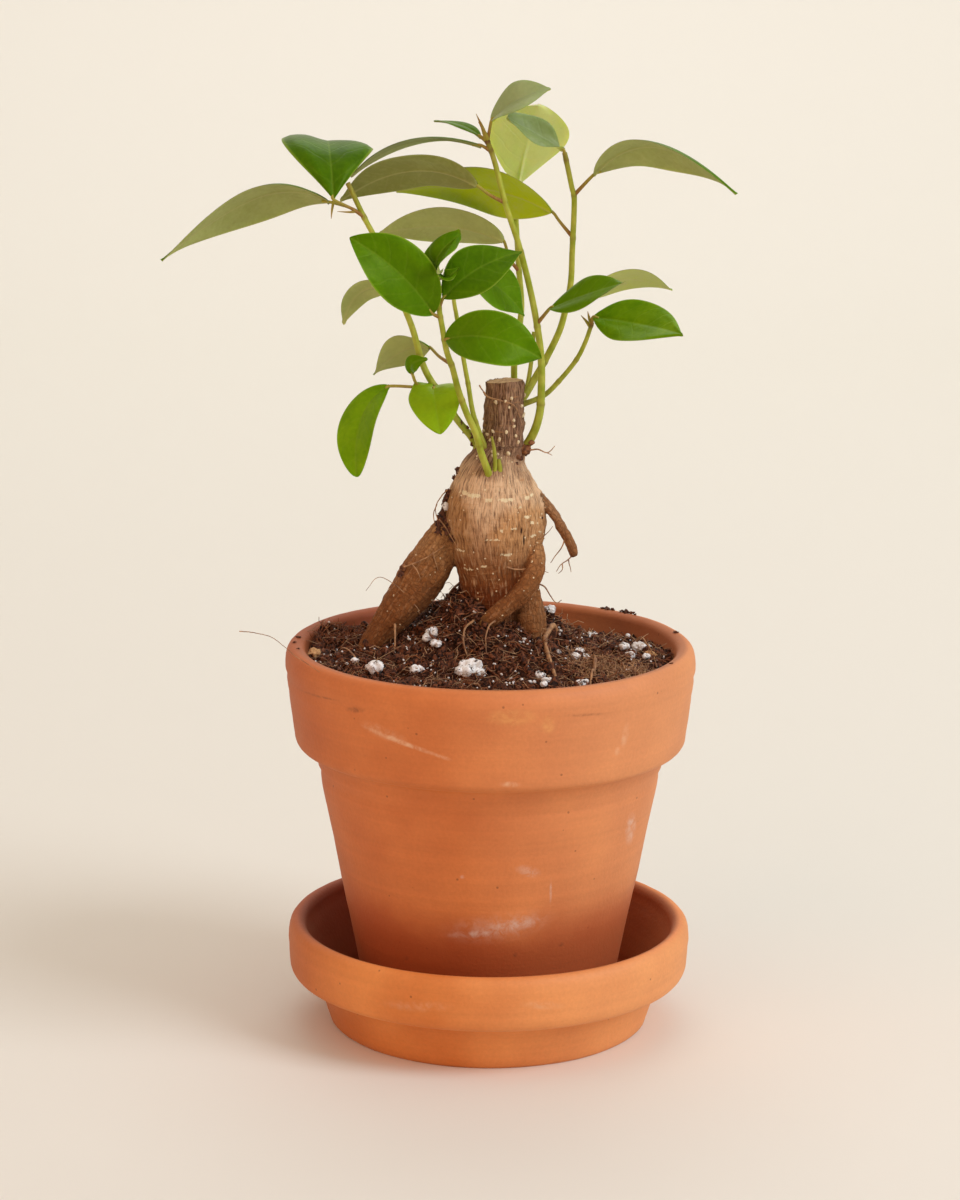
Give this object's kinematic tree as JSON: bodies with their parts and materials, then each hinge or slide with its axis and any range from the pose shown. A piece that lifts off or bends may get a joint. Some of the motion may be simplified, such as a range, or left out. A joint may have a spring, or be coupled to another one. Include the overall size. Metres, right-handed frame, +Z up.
{
  "type": "potted ginseng ficus",
  "caption": "Upright bonsai-style ficus with a swollen root trunk and loose leafy stems, in a round terracotta pot on a deep saucer, to stand on a sill or desk.",
  "frame": {"origin": "centre of the saucer's flat foot, at table height", "axes": "+Z up along the pot's axis, -Y towards the front that the picture shows, +X to the picture's right"},
  "size_m": [0.1476, 0.11, 0.2536],
  "materials": {
    "saucer_clay": "matte",
    "pot_clay": "matte",
    "soil": "matte",
    "bark": "matte",
    "leaf": "satin"
  },
  "bodies": {
    "root": {"saucer": "saucer_clay", "pot": "pot_clay", "soil": "soil", "trunk": "bark", "stem_left_tall": "leaf", "stem_front": "leaf", "stem_behind_front": "leaf", "stem_centre_tall": "leaf", "stem_back": "leaf", "stem_right_tall": "leaf", "stem_right_short": "leaf"}
  },
  "joints": []
}
